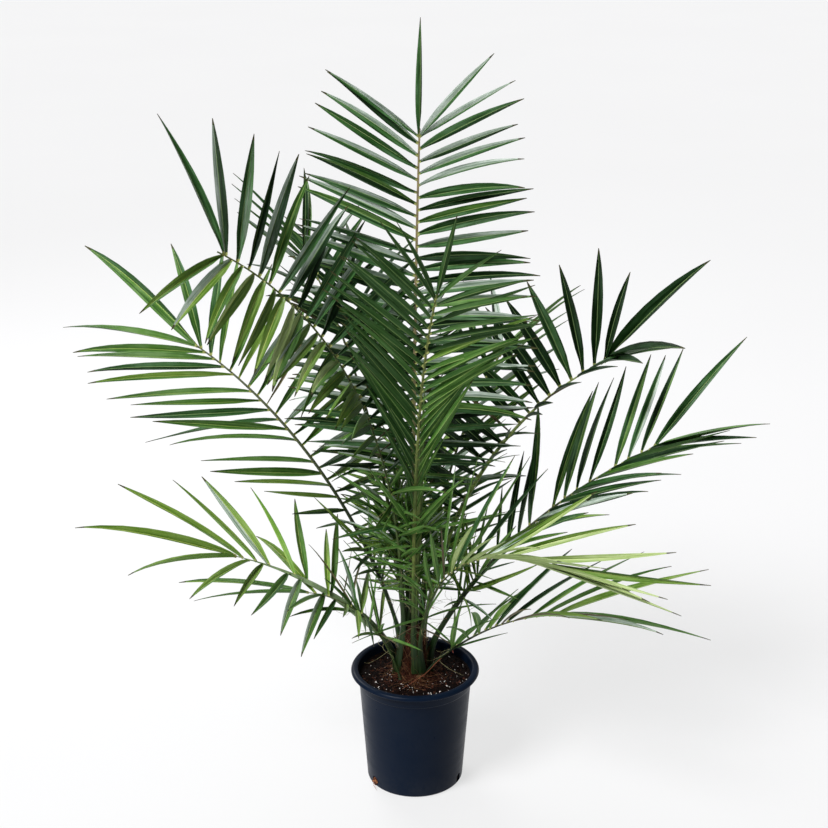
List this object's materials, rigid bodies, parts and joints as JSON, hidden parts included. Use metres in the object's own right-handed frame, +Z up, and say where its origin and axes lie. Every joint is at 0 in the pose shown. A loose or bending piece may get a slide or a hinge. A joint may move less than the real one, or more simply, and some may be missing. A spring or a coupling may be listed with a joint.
{
  "type": "young canary island date palm in a nursery pot",
  "caption": "Young date palm with arching feather fronds and narrow keeled leaflets on a short fibrous trunk, in a round tapered nursery pot filled with potting mix.",
  "frame": {"origin": "middle of the pot's flat underside, where it stands", "axes": "+Z up along the pot's axis; the front of the plant faces -Y and +X is to its right seen from the front"},
  "size_m": [1.3015, 1.0394, 1.3809],
  "materials": {
    "pot": "dark navy-black moulded plastic with a soft satin sheen",
    "potting_mix": "damp red-brown bark and peat with pale specks of perlite",
    "trunk": "matted red-brown leaf-base fibre",
    "spear": "furled pale yellow-green leaf",
    "frond": "satin dark green leaflets with a pale midrib on an olive-green stalk"
  },
  "bodies": {
    "root": {"pot": "pot", "potting_mix": "potting_mix", "trunk": "trunk", "spear": "spear", "frond_front": "frond", "frond_low_left_back": "frond", "frond_low_left_front": "frond", "frond_low_rear": "frond", "frond_low_right": "frond", "frond_low_right_front": "frond", "frond_mid_left": "frond", "frond_rear": "frond", "frond_rear_left": "frond", "frond_rear_right": "frond", "frond_right": "frond", "frond_tall_rear": "frond", "frond_upper_left": "frond", "frond_upper_right": "frond"}
  },
  "joints": []
}
